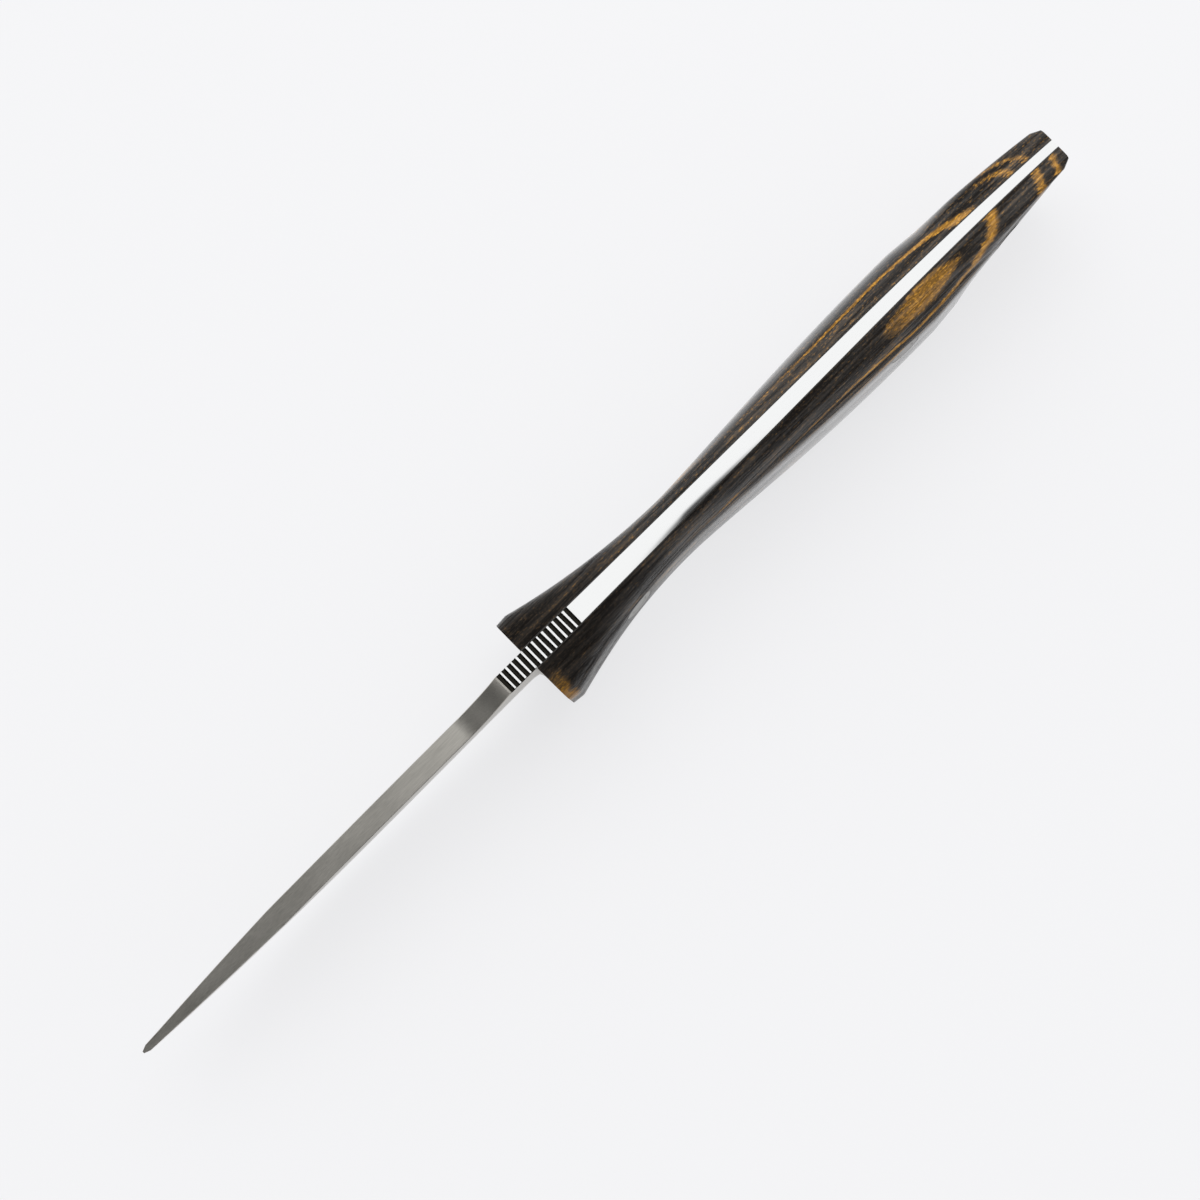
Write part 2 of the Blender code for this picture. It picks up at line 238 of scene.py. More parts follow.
# %% Build a tree, run it, keep the mesh
def form_tree(name, sizes):
    """A Geometry Nodes tree with a named input for each size, and the inputs as terms."""
    tree = bpy.data.node_groups.new(name, "GeometryNodeTree")
    tree.interface.new_socket("Geometry", in_out="OUTPUT", socket_type="NodeSocketGeometry")
    for size, value in sizes.items():
        kind = "NodeSocketInt" if isinstance(value, int) else "NodeSocketFloat"
        tree.interface.new_socket(size, in_out="INPUT", socket_type=kind)
    given = tree.nodes.new("NodeGroupInput")
    return tree, SimpleNamespace(**{size: Term(given.outputs[size]) for size in sizes})


def end_tree(tree, geometry, material):
    realized = add_node(tree, "GeometryNodeRealizeInstances", {"Geometry": geometry})
    painted = add_node(tree, "GeometryNodeSetMaterial", {
        "Geometry": realized.outputs[0],
        "Material": material,
    })
    add_node(tree, "NodeGroupOutput", {"Geometry": painted.outputs[0]})


SHARP_FROM = math.radians(35.0)


def make_piece(node, tree, sizes):
    """Runs a tree with these sizes. The result stands for the solid of that name."""
    piece = bpy.data.objects.new(f"{node}_finished", bpy.data.meshes.new(node))
    bpy.context.scene.collection.objects.link(piece)
    step = piece.modifiers.new(tree.name, "NODES")
    step.node_group = tree
    for item in tree.interface.items_tree:
        if item.in_out == "INPUT":
            step[item.identifier] = sizes[item.name]
    evaluated = piece.evaluated_get(bpy.context.evaluated_depsgraph_get())
    mesh = bpy.data.meshes.new_from_object(evaluated)
    piece.modifiers.remove(step)
    piece.data = mesh
    mesh.shade_smooth()
    mesh.set_sharp_from_angle(angle=SHARP_FROM)
    if "crease" in mesh.attributes:
        for edge, mark in zip(mesh.edges, mesh.attributes["crease"].data):
            edge.use_edge_sharp = edge.use_edge_sharp or mark.value > 0.5
    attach(piece, "root")
    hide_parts(node)
    print(f"{piece.name}: {len(mesh.polygons)} faces")


# %% [markdown]
# ## The handle's rule
#
# On the real knife wood and steel are ground together on one belt, so both follow one surface. That
# surface is a row of ribs. Seen from the side, a rib runs from the spine to the belly and leans with the
# rake of the butt. Seen from the end, it is a rounded box that may be fuller below its middle or above
# it. Writing that rule once, and cutting every piece of the handle from it, keeps them flush.

# %% Sizes of the handle
HANDLE = {
    "front_x": FRONT_X,
    "rest_z": REST_Z,
    "handle_length": HANDLE_LENGTH,
    "steel_thickness": STEEL_THICKNESS,
    "butt_thickness": 0.0016,
    "flare_width": 0.0199,
    "waist_width": 0.0094,
    "waist_distance": 0.0369,
    "swell_width": 0.0141,
    "swell_distance": 0.0960,
    "butt_width": 0.0072,
    "flare_curve": 2.0,
    "rise_curve": 0.67,
    "tail_curve": 1.11,
    "hump_rise": HUMP_RISE,
    "hump_distance": 0.0800,
    "butt_drop": 0.0080,
    "tail_drop_curve": 2.6,
    "guard_depth": 0.0292,
    "groove_distance": 0.0210,
    "groove_depth": 0.0245,
    "palm_distance": 0.0700,
    "palm_depth": 0.0310,
    "butt_heel_depth": 0.0275,
    "butt_rake": 0.0065,
    "palm_end": HANDLE_LENGTH - 0.0280,
    "tail_start": HANDLE_LENGTH - 0.0207,
    "flare_roundness": 2.1,
    "waist_roundness": 1.8,
    "palm_roundness": 1.8,
    "tail_roundness": 1.8,
    "butt_roundness": 6.6,
    "flare_squareness": 10.0,
    "waist_squareness": 9.4,
    "palm_squareness": 7.6,
    "tail_squareness": 9.1,
    "butt_squareness": 9.8,
    "belly_squareness": 2.35,
    "flare_fullness": 0.16,
    "waist_fullness": 0.41,
    "palm_fullness": 0.225,
    "tail_fullness": -0.19,
    "butt_fullness": -0.43,
}
EASED_ENDS = {
    "front_ease_length": 0.0024,
    "front_ease_depth": 0.00085,
    "butt_ease_length": 0.0018,
    "butt_ease_depth": 0.00055,
}
for width in ("flare_width", "waist_width", "swell_width", "butt_width"):
    print(width, f"{1000 * HANDLE[width]:.1f} mm")


# %% Side view and top view of the handle
def handle_top(size, back):
    rise = size.hump_rise * ease(share(back, 0.0, size.hump_distance))
    drop = share(back, size.hump_distance, size.handle_length) ** size.tail_drop_curve
    return rise - (size.hump_rise + size.butt_drop) * drop


def handle_bottom(size, back):
    groove = ease(share(back, 0.0, size.groove_distance))
    palm = ease(share(back, size.groove_distance, size.palm_distance))
    heel = ease(share(back, size.palm_distance, size.handle_length - size.butt_rake))
    depth = between(size.guard_depth, size.groove_depth, groove)
    depth = depth + (size.palm_depth - size.groove_depth) * palm
    return -(depth + (size.butt_heel_depth - size.palm_depth) * heel)


def handle_width(size, back):
    flare = (1.0 - share(back, 0.0, size.waist_distance)) ** size.flare_curve
    swell = ease(share(back, size.waist_distance, size.swell_distance) ** size.rise_curve)
    tail = share(back, size.swell_distance, size.handle_length) ** size.tail_curve
    width = between(size.waist_width, size.flare_width, flare)
    width = width + (size.swell_width - size.waist_width) * swell
    return width + (size.butt_width - size.swell_width) * tail


def tang_half(size, x):
    """Half the tang's thickness: full steel at the front, thin at the butt."""
    return between(size.steel_thickness, size.butt_thickness, -x / size.handle_length) / 2.0


def eased_inset(size, back):
    """How far the bevels on the wood's front and butt edges cut in from the rib."""
    butt_start = size.handle_length - size.butt_ease_length
    front = size.front_ease_depth * (1.0 - share(back, 0.0, size.front_ease_length))
    return front + size.butt_ease_depth * share(back, butt_start, size.handle_length)


# %% [markdown]
# A rib's outline is a superellipse: cosine and sine of an angle, each raised to a power. With both
# powers at 1 it is an ellipse, and smaller ones square its corners. The half by the spine and the half
# by the belly have powers of their own. The angle at which the rim leaves the tang's side has no short
# formula, so a few rounds of guessing and correcting find it, each round being one more row of nodes.

# %% One rib
CORRECTIONS = 8
PLACES = ("flare", "waist", "palm", "tail", "butt")


class Rib:
    """A section of the handle, as terms. Its angle is 0 at the spine and pi at the belly."""

    def __init__(self, size, back, inset=0.0):
        lean = back / size.handle_length * size.butt_rake
        self.top_x = -back
        self.top_z = handle_top(size, back)
        self.bottom_x = lean - back
        self.bottom_z = handle_bottom(size, back - lean) + inset
        self.half_width = handle_width(size, back) / 2.0 - inset
        stations = (0.0, size.waist_distance, size.palm_end, size.tail_start, size.handle_length)

        def from_place_to_place(what):
            return path(back, stations, [getattr(size, f"{place}_{what}") for place in PLACES])

        self.spine_roundness = from_place_to_place("roundness")
        self.spine_squareness = from_place_to_place("squareness")
        self.belly_squareness = size.belly_squareness
        self.fullness = from_place_to_place("fullness")

    def point(self, angle):
        cosine = calculate("COSINE", angle)
        sine = calculate("ABSOLUTE", calculate("SINE", angle))
        by_spine = above(cosine, 0.0)
        across = 2.0 / choose(by_spine, self.spine_roundness, self.belly_squareness)
        down = 2.0 / choose(by_spine, self.spine_squareness, self.belly_squareness)
        reach = calculate("SIGN", cosine) * calculate("ABSOLUTE", cosine) ** down
        part = (1.0 - reach) / 2.0
        return SimpleNamespace(
            x=between(self.top_x, self.bottom_x, part),
            y=self.half_width * (1.0 - self.fullness * cosine) * sine ** across,
            z=between(self.top_z, self.bottom_z, part),
        )

    def angle_at(self, plane, end):
        """Where the rim leaves a plane beside the steel: end is 1 by the spine and -1 by the belly."""
        power = self.spine_roundness if end > 0 else self.belly_squareness
        cosine = float(end)
        for _ in range(CORRECTIONS):
            width = self.half_width * (1.0 - self.fullness * cosine)
            sine = (plane / width) ** (power / 2.0)
            cosine = end * calculate("SQRT", 1.0 - sine * sine)
        return calculate("ARCTAN2", sine, cosine)

    def corners(self, size, offset):
        """The rim's first and last point outside a plane that lies this far off the tang."""
        first = self.angle_at(tang_half(size, self.top_x) + offset, 1)
        last = self.angle_at(tang_half(size, self.bottom_x) + offset, -1)
        return first, last


# %% [markdown]
# Every piece starts as plain stock. A closed cylinder already has its points in rings and its caps in
# place, so moving each point by the rule gives a clean, watertight piece. Rods across the knife are the
# drills, and Booleans do the cutting.

# %% Shape a cylinder by a rule
def ring_stock(tree, around, along):
    """A plain closed cylinder to be moved into shape, with its place around and along as 0 to 1."""
    stock = add_node(tree, "GeometryNodeMeshCylinder", {"Vertices": around, "Side Segments": along},
                     fill_type="NGON")
    x, y, z = parts_of(tree.nodes.new("GeometryNodeInputPosition").outputs[0])
    turn = calculate("ARCTAN2", y, x) / (2.0 * math.pi)
    return stock.outputs["Mesh"], turn, z / 2.0 + 0.5


def moved(tree, mesh, size, x, y, z):
    place = vector(tree, x + size.front_x, y, z + size.rest_z)
    return add_node(tree, "GeometryNodeSetPosition", {"Geometry": mesh, "Position": place}).outputs[0]


def crossing_rod(tree, x, z, middle_y, length, radius, sides=64):
    """A round rod across the knife."""
    rod = add_node(tree, "GeometryNodeMeshCylinder", {"Vertices": sides, "Radius": radius, "Depth": length})
    return add_node(tree, "GeometryNodeTransform", {
        "Geometry": rod.outputs["Mesh"],
        "Translation": vector(tree, x, middle_y, z),
        "Rotation": (math.pi / 2.0, 0.0, 0.0),
    }).outputs[0]


def combine(tree, operation, body, *tools):
    node = add_node(tree, "GeometryNodeMeshBoolean", operation=operation, solver="EXACT")
    meshes = node.inputs["Mesh 2"]
    if operation == "DIFFERENCE":
        plug(body, node.inputs["Mesh 1"])
    else:
        plug(body, meshes)
    for tool in tools:
        plug(tool, meshes)
    return node.outputs["Mesh"]


def store_mark(tree, mesh, name, value, domain="FACE"):
    """Stores a value on a mesh under a name, for later steps to read."""
    inputs = {"Geometry": mesh, "Name": name, "Value": value}
    node = add_node(tree, "GeometryNodeStoreNamedAttribute", inputs, data_type="FLOAT", domain=domain)
    return node.outputs[0]


# %% [markdown]
# ## Holes
#
# Two bolts and a lanyard tube cross the handle. The frame says where they are, and every piece that they
# pass through is drilled with the same rods, a tenth of a millimetre wider than what goes in.

# %% Measure the bolts and the tube
HOLE_GAP = 0.0001
FAR_Y = 0.02


def middle_and_radius(node):
    low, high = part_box(node)
    return (low + high) / 2.0, (high.x - low.x) / 2.0


front_bolt, stud_radius = middle_and_radius("front_stud")
rear_bolt, _ = middle_and_radius("rear_stud")
_, nut_radius = middle_and_radius("front_left_nut")
lanyard, tube_radius = middle_and_radius("lanyard_tube")
HOLES = {
    "front_bolt_x": front_bolt.x,
    "front_bolt_z": front_bolt.z,
    "front_seat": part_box("front_left_nut")[0].y - HOLE_GAP,
    "rear_bolt_x": rear_bolt.x,
    "rear_bolt_z": rear_bolt.z,
    "rear_seat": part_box("rear_left_nut")[0].y - HOLE_GAP,
    "tube_x": lanyard.x,
    "tube_z": lanyard.z,
    "stud_hole_radius": stud_radius + HOLE_GAP,
    "nut_hole_radius": nut_radius + HOLE_GAP,
    "tube_hole_radius": tube_radius + HOLE_GAP,
}
print(f"bolts {2000 * nut_radius:.2f} mm, tube {2000 * tube_radius:.2f} mm across")


def through_rods(tree, size):
    """Rods for the holes that go right through the handle."""
    return [
        crossing_rod(tree, size.front_bolt_x, size.front_bolt_z, 0.0, 2.0 * FAR_Y, size.stud_hole_radius),
        crossing_rod(tree, size.rear_bolt_x, size.rear_bolt_z, 0.0, 2.0 * FAR_Y, size.stud_hole_radius),
        crossing_rod(tree, size.tube_x, size.tube_z, 0.0, 2.0 * FAR_Y, size.tube_hole_radius),
    ]


# %% [markdown]
# ## Steel
#
# Blade and tang are one bar, profiled on a grinder. Flat bevels run down from a line high on each side
# and end in a finer bevel at the edge; the plunge is the short curve where they begin. The spine rises in
# a hollow ramp to the thumb rest, and shallow grooves filed across it, the jimping, keep the thumb from
# slipping. Half a section is a path from the spine to the edge, so a handful of corner points and the
# rules for their height and thickness describe the whole blade.

# %% Sizes of the steel
STEEL = {
    "blade_length": BLADE_LENGTH,
    "thumb_rest_length": 0.0066,
    "ramp_length": 0.0113,
    "ramp_rise": 0.0048,
    "tip_drop": 0.0063,
    "spine_curve": 1.7,
    "heel_distance": 0.0026,
    "heel_depth": 0.0260,
    "belly_distance": 0.0480,
    "belly_depth": 0.0276,
    "belly_curve": 2.1,
    "grind_height": 0.0187,
    "plunge_length": 0.0010,
    "edge_shoulder": 0.0005,
    "tip_shoulder": 0.0012,
    "tip_stretch": 0.0280,
    "edge_slope": math.tan(math.radians(27.0)),
    "edge_flat": 0.00006,
    "tip_flat": 0.00035,
    "spine_chamfer": 0.00012,
}
JIMPING = {
    "jimping_count": 14,
    "jimping_pitch": 0.00127,
    "jimping_width": 0.00090,
    "jimping_depth": 0.00045,
    "jimping_drift": 0.00003,
    "jimping_skew": math.radians(1.2),
    "jimping_seed": 5,
}
STEEL_SIZES = {**HANDLE, **HOLES, **STEEL, **JIMPING}
print(f"{len(STEEL_SIZES)} sizes for the steel, {JIMPING['jimping_count']} grooves")


# %% Side view and bevels of the blade
# Towards the point the blade gets too low for full bevels, so each is held to a share of its height
MOST_SHOULDER, MOST_GRIND, MOST_CHAMFER = 0.30, 0.95, 0.03


def spine_height(size, x):
    """Top of the steel ahead of the scales: thumb rest, hollow ramp, then the drop to the tip."""
    foot = size.thumb_rest_length + size.ramp_length
    squares = size.ramp_length * size.ramp_length + size.ramp_rise * size.ramp_rise
    radius = squares / (2.0 * size.ramp_rise)
    run = size.ramp_length * (1.0 - share(x, size.thumb_rest_length, foot))
    hollow = radius - calculate("SQRT", radius * radius - run * run) - size.ramp_rise
    return hollow - size.tip_drop * share(x, foot, size.blade_length) ** size.spine_curve


def edge_height(size, x):
    """Bottom of the steel ahead of the scales: guard, heel, straight edge and belly."""
    heel = ease(share(x, 0.0, size.heel_distance))
    belly = ease(share(x, size.heel_distance, size.belly_distance))
    point = share(x, size.belly_distance, size.blade_length) ** size.belly_curve
    tip_depth = size.ramp_rise + size.tip_drop + size.tip_flat
    depth = between(size.guard_depth, size.heel_depth, heel)
    depth = depth + (size.belly_depth - size.heel_depth) * belly
    return -(depth + (tip_depth - size.belly_depth) * point)


def edge_shoulder(size, x):
    """Thickness behind the edge, which grows towards the tip."""
    return between(size.edge_shoulder, size.tip_shoulder,
                   share(x, size.blade_length - size.tip_stretch, size.blade_length))


def ground_thickness(size, x, height):
    """Thickness at a height over the edge: edge bevel, flat bevel or full steel, the least of them."""
    shoulder = edge_shoulder(size, x)
    edge_bevel = size.edge_flat + 2.0 * height * size.edge_slope
    flat_bevel = shoulder + (size.steel_thickness - shoulder) * height / size.grind_height
    ground = calculate("MINIMUM", calculate("MINIMUM", edge_bevel, flat_bevel), size.steel_thickness)
    return between(size.steel_thickness, ground, ease(share(x, 0.0, size.plunge_length)))


def shoulder_height(size, x, height):
    shoulder = edge_shoulder(size, x)
    slope = 2.0 * size.edge_slope - (size.steel_thickness - shoulder) / size.grind_height
    return calculate("MINIMUM", (shoulder - size.edge_flat) / slope, MOST_SHOULDER * height)


# %% [markdown]
# The same ring of points has to serve the bevelled blade and the tang between the scales. The numbers
# below say how far round the half section each corner lies, with 0 on the spine and 1 on the edge: the
# end of the flat spine, its tiny broken corner, the grind line, the shoulder of the edge bevel, the edge.

# %% Half sections of blade and tang
CROWN, CHAMFER, GRIND, SHOULDER, EDGE = 0.20, 0.24, 0.40, 0.80, 0.92
A_HAIR = 0.001


def blade_point(size, x, around):
    """A point of the left half section ahead of the scales: around is 0 at the spine and 1 at the edge."""
    top = spine_height(size, x)
    low = edge_height(size, x)
    height = top - low
    chamfer = calculate("MINIMUM", size.spine_chamfer, MOST_CHAMFER * height)
    grind = calculate("MINIMUM", size.grind_height, MOST_GRIND * height)
    up = path(around, (CROWN, CHAMFER, GRIND, SHOULDER, EDGE),
              (height, height - chamfer, grind, shoulder_height(size, x, height), 0.0))
    flat = 1.0 - 2.0 * chamfer / ground_thickness(size, x, height)
    reach = path(around, (0.0, CROWN, CHAMFER, EDGE, 1.0), (0.0, flat, 1.0, 1.0, 0.0))
    return SimpleNamespace(x=x, y=ground_thickness(size, x, up) / 2.0 * reach, z=low + up)


def tang_point(size, back, around):
    """A point of the left half section between the scales: crowned with them, flat on its side."""
    rib = Rib(size, back)
    first, last = rib.corners(size, 0.0)
    rim = rib.point(path(around, (0.0, CHAMFER, EDGE, 1.0), (0.0, first, last, math.pi)))
    corner, foot = rib.point(first), rib.point(last)
    down = share(around, CHAMFER, EDGE)
    x = between(corner.x, foot.x, down)
    on_side = above(around, CHAMFER + A_HAIR) * above(EDGE - A_HAIR, around)
    return SimpleNamespace(
        x=choose(on_side, x, rim.x),
        y=choose(on_side, tang_half(size, x), rim.y),
        z=choose(on_side, between(corner.z, foot.z, down), rim.z),
    )


# %% [markdown]
# The jimping repeats, so it is a row of round bars instanced on a line of points and cut out of the steel.
# A seeded random value shifts and turns each bar by a hair, as filing by hand does. The grooves carry a
# mark of their own, which gives them a rough finish and their painted shade, and so does the polished top
# of the tang, which has another finish.

# %% Bars for the jimping
BAR_SIDES = 24


def jimping_bars(tree, size):
    """Round bars, one for each groove, with the small drift and skew of hand filing."""
    radius = size.jimping_width / 2.0
    first = size.thumb_rest_length - (size.jimping_pitch - size.jimping_width) - radius
    row = add_node(tree, "GeometryNodeMeshLine", {
        "Count": size.jimping_count,
        "Start Location": vector(tree, first, 0.0, 0.0),
        "Offset": vector(tree, -size.jimping_pitch, 0.0, 0.0),
    })
    x, _, _ = parts_of(tree.nodes.new("GeometryNodeInputPosition").outputs[0])
    drift = add_node(tree, "FunctionNodeRandomValue", {"Seed": size.jimping_seed})
    plug(-size.jimping_drift, drift.inputs[2])
    plug(size.jimping_drift, drift.inputs[3])
    top = handle_top(size, calculate("MAXIMUM", -x, 0.0))
    points = moved(tree, row.outputs["Mesh"], size, x + Term(drift.outputs[1]), 0.0,
                   top - size.jimping_depth + radius)
    bar = crossing_rod(tree, 0.0, 0.0, 0.0, 2.0 * size.steel_thickness, radius, BAR_SIDES)
    skew = add_node(tree, "FunctionNodeRandomValue", {"Seed": size.jimping_seed + 1})
    plug(-size.jimping_skew, skew.inputs[2])
    plug(size.jimping_skew, skew.inputs[3])
    bars = add_node(tree, "GeometryNodeInstanceOnPoints", {
        "Points": points,
        "Instance": bar,
        "Rotation": vector(tree, 0.0, 0.0, Term(skew.outputs[1])),
    })
    realized = add_node(tree, "GeometryNodeRealizeInstances", {"Geometry": bars.outputs[0]})
    # This mark makes the grooves rough and also carries the painted shade of their recesses.
    return store_mark(tree, realized.outputs[0], "filed_and_shaded", 1.0)


# %% [markdown]
# The stock for the steel is a closed cylinder with many rings. How far a ring lies along the cylinder,
# from 0 at the butt to 1 at the tip, decides where it goes: half of the rings serve the tang, and the
# rest are spread so that they lie closest where the plunge, the ramp and the point curve most.

# %% Make the steel
STEEL_AROUND, STEEL_ALONG = 50, 300
TANG_END, PLUNGE_END, REST_END, RAMP_END, POINT_START = 0.5, 0.6, 0.64, 0.75, 0.92
NEARBY = 0.005
SPINE_UP = 0.6


def steel_tree(material):
    tree, size = form_tree("steel_form", STEEL_SIZES)
    stock, turn, along = ring_stock(tree, STEEL_AROUND, STEEL_ALONG)
    around = 2.0 * calculate("ABSOLUTE", turn)
    foot = size.thumb_rest_length + size.ramp_length
    point_start = size.blade_length - size.tip_stretch
    x = path(along, (0.0, TANG_END, PLUNGE_END, REST_END, RAMP_END, POINT_START),
             (-size.handle_length, 0.0, size.plunge_length, size.thumb_rest_length, foot, point_start))
    left = 1.0 - share(along, POINT_START, 1.0)
    x = choose(above(along, POINT_START), size.blade_length - size.tip_stretch * left * left, x)
    ahead = above(along, TANG_END + A_HAIR)
    crease = above(NEARBY, calculate("ABSOLUTE", around - GRIND))
    for line in (CROWN, CHAMFER, SHOULDER, EDGE):
        crease = calculate("MAXIMUM", crease, above(NEARBY, calculate("ABSOLUTE", around - line)))
    stock = store_mark(tree, stock, "crease", crease * ahead, "EDGE")
    blade = blade_point(size, x, around)
    tang = tang_point(size, calculate("MAXIMUM", -x, 0.0), around)
    side = calculate("SIGN", turn)
    shaped = moved(tree, stock, size, choose(ahead, blade.x, tang.x), side * choose(ahead, blade.y, tang.y),
                   choose(ahead, blade.z, tang.z))
    steel = combine(tree, "DIFFERENCE", shaped, *through_rods(tree, size), jimping_bars(tree, size))
    place_x, _, _ = parts_of(tree.nodes.new("GeometryNodeInputPosition").outputs[0])
    _, _, up = parts_of(tree.nodes.new("GeometryNodeInputNormal").outputs[0])
    first_land = size.jimping_pitch - size.jimping_width
    polished = above(size.front_x + size.thumb_rest_length - first_land, place_x) * above(up, SPINE_UP)
    end_tree(tree, store_mark(tree, steel, "polish", polished), material)
    return tree


satin_steel = bpy.data.materials.new("satin_steel")
make_piece("blade", steel_tree(satin_steel), STEEL_SIZES)


# %% [markdown]
# ## Scales
#
# A scale is a slab of wood glued to the tang and ground to the handle's rule. Most of the ring of points
# follows the rim, and the rest runs back along the flat face on the glue. The front and butt edges have a
# narrow bevel. One tree makes both scales: an input called side mirrors it, and since a mirrored ring
# would turn its faces inside out, the direction round the ring is reversed with it.

# %% A tree for both scales
SCALE_AROUND, SCALE_ALONG = 120, 160
FRONT_BEVEL_END, BUTT_BEVEL_START = 0.08, 0.95
RIM_PART = 0.85
SCALE_SIZES = {**HANDLE, **EASED_ENDS, **HOLES, "bond_room": 0.00024, "side": 1.0}


def scale_tree(material):
    tree, size = form_tree("scale_form", SCALE_SIZES)
    stock, turn, along = ring_stock(tree, SCALE_AROUND, SCALE_ALONG)
    turn = calculate("FRACT", turn * size.side + 1.0)
    butt_start = size.handle_length - size.butt_ease_length
    back = path(along, (0.0, FRONT_BEVEL_END, BUTT_BEVEL_START, 1.0),
                (0.0, size.front_ease_length, butt_start, size.handle_length))
    rib = Rib(size, back, eased_inset(size, back))
    first, last = rib.corners(size, size.bond_room)
    rim = rib.point(path(turn, (0.0, RIM_PART), (first, last)))
    start, end = rib.point(first), rib.point(last)
    home = share(turn, RIM_PART, 1.0)
    x = between(end.x, start.x, home)
    glued = above(turn, RIM_PART + A_HAIR)
    y = choose(glued, tang_half(size, x) + size.bond_room, rim.y)
    z = choose(glued, between(end.z, start.z, home), rim.z)
    shaped = moved(tree, stock, size, choose(glued, x, rim.x), y * size.side, z)
    rods = through_rods(tree, size)
    for bolt_x, bolt_z, seat in ((size.front_bolt_x, size.front_bolt_z, size.front_seat),
                                 (size.rear_bolt_x, size.rear_bolt_z, size.rear_seat)):
        middle = (seat + FAR_Y) / 2.0 * size.side
        rods.append(crossing_rod(tree, bolt_x, bolt_z, middle, FAR_Y - seat, size.nut_hole_radius))
    end_tree(tree, combine(tree, "DIFFERENCE", shaped, *rods), material)
    return tree


# %% Make the scales
dark_wood = bpy.data.materials.new("dark_wood")
wood_form = scale_tree(dark_wood)
for side, node in ((1.0, "left_scale"), (-1.0, "right_scale")):
    make_piece(node, wood_form, {**SCALE_SIZES, "side": side})


# %% [markdown]
# ## Glue lines
#
# Between wood and steel lies a film of dark epoxy, less than a fifth of a millimetre thick. It shows only
# as a fine line along the tang. Four corners of each rib, two on the tang's side and two on the wood's,
# are enough for it.

# %% A tree for both glue lines
BOND_AROUND, BOND_ALONG = 40, 130
FILM = {"film_inside": 0.00003, "film_outside": 0.00021}
BOND_SIZES = {**HANDLE, **EASED_ENDS, **HOLES, **FILM, "side": 1.0}


def bond_tree(material):
    tree, size = form_tree("bond_form", BOND_SIZES)
    stock, turn, along = ring_stock(tree, BOND_AROUND, BOND_ALONG)
    turn = calculate("FRACT", turn * size.side + 1.0)
    back = along * size.handle_length
    rib = Rib(size, back, eased_inset(size, back))
    inner_top, inner_foot = [rib.point(angle) for angle in rib.corners(size, size.film_inside)]
    outer_top, outer_foot = [rib.point(angle) for angle in rib.corners(size, size.film_outside)]
    one_step = 1.0 / BOND_AROUND
    stops = (0.0, one_step, 0.5, 0.5 + one_step, 1.0)
    corners = (inner_top, outer_top, outer_foot, inner_foot, inner_top)
    x = path(turn, stops, [corner.x for corner in corners])
    y = path(turn, stops, [corner.y for corner in corners])
    z = path(turn, stops, [corner.z for corner in corners])
    film = moved(tree, stock, size, x, y * size.side, z)
    end_tree(tree, combine(tree, "DIFFERENCE", film, *through_rods(tree, size)), material)
    return tree


# %% Make the glue lines
dark_epoxy = bpy.data.materials.new("dark_epoxy")
film_form = bond_tree(dark_epoxy)
for side, node in ((1.0, "left_bond"), (-1.0, "right_bond")):
    make_piece(node, film_form, {**BOND_SIZES, "side": side})


# %% [markdown]
# ## Bolts and lanyard tube
#
# Each bolt is a stud with a round nut screwed on from both sides, and the tube lines a hole for a wrist
# lanyard. They are fitted proud and ground away together with the wood, so here too a plain rod is cut
# to the handle's surface: the rod and the rule for the handle are intersected, and a bore is taken out.

# %% Trees for a plain rod and a bored one
FITTING_AROUND, FITTING_ALONG = 96, 120
FITTING = ("centre_x", "centre_z", "middle_y", "length", "outer_radius", "bore_radius")


def fitting_tree(name, material, bored):
    """A round piece across the handle, ground flush with the wood at both ends."""
    tree, size = form_tree(name, {**HANDLE, **EASED_ENDS, **dict.fromkeys(FITTING, 0.0)})
    stock, turn, along = ring_stock(tree, FITTING_AROUND, FITTING_ALONG)
    back = along * size.handle_length
    rim = Rib(size, back, eased_inset(size, back)).point(calculate("ABSOLUTE", turn) * 2.0 * math.pi)
    contour = moved(tree, stock, size, rim.x, rim.y * calculate("SIGN", turn), rim.z)
    rod = crossing_rod(tree, size.centre_x, size.centre_z, size.middle_y, size.length, size.outer_radius,
                       FITTING_AROUND)
    piece = combine(tree, "INTERSECT", rod, contour)
    if bored:
        bore = crossing_rod(tree, size.centre_x, size.centre_z, 0.0, 2.0 * FAR_Y, size.bore_radius,
                            FITTING_AROUND)
        piece = combine(tree, "DIFFERENCE", piece, bore)
    end_tree(tree, piece, material)
    return tree


# %% Make the bolts and the tube
TUBE_WALL = 0.000795
bright_steel = bpy.data.materials.new("bright_steel")
rod_form = fitting_tree("rod_form", bright_steel, bored=False)
ring_form = fitting_tree("ring_form", bright_steel, bored=True)


def make_fitting(node, tree, centre, low_y, high_y, outer, bore):
    values = (centre.x, centre.z, (low_y + high_y) / 2.0, high_y - low_y, outer, bore)
    make_piece(node, tree, {**HANDLE, **EASED_ENDS, **dict(zip(FITTING, values))})


for end, bolt in (("front", front_bolt), ("rear", rear_bolt)):
    make_fitting(f"{end}_stud", rod_form, bolt, -FAR_Y, FAR_Y, stud_radius, 0.0)
    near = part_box(f"{end}_left_nut")[0].y
    make_fitting(f"{end}_left_nut", ring_form, bolt, near, FAR_Y, nut_radius, stud_radius + HOLE_GAP)
    make_fitting(f"{end}_right_nut", ring_form, bolt, -FAR_Y, -near, nut_radius, stud_radius + HOLE_GAP)
make_fitting("lanyard_tube", ring_form, lanyard, -FAR_Y, FAR_Y, tube_radius, tube_radius - TUBE_WALL)


# %% [markdown]
# ## Finishes
#
# All finishes are procedural and read the place of a point on the knife itself, so they stay put when the
# knife is turned. A few helpers keep them short: noise with a different scale in each direction, a colour
# ramp, a blend of two colours and a bump.

# %% Shader helpers
def start_finish(material):
    material.use_nodes = True
    tree = material.node_tree
    place = add_node(tree, "ShaderNodeTexCoord").outputs["Object"]
    return tree, tree.nodes["Principled BSDF"], parts_of(place)


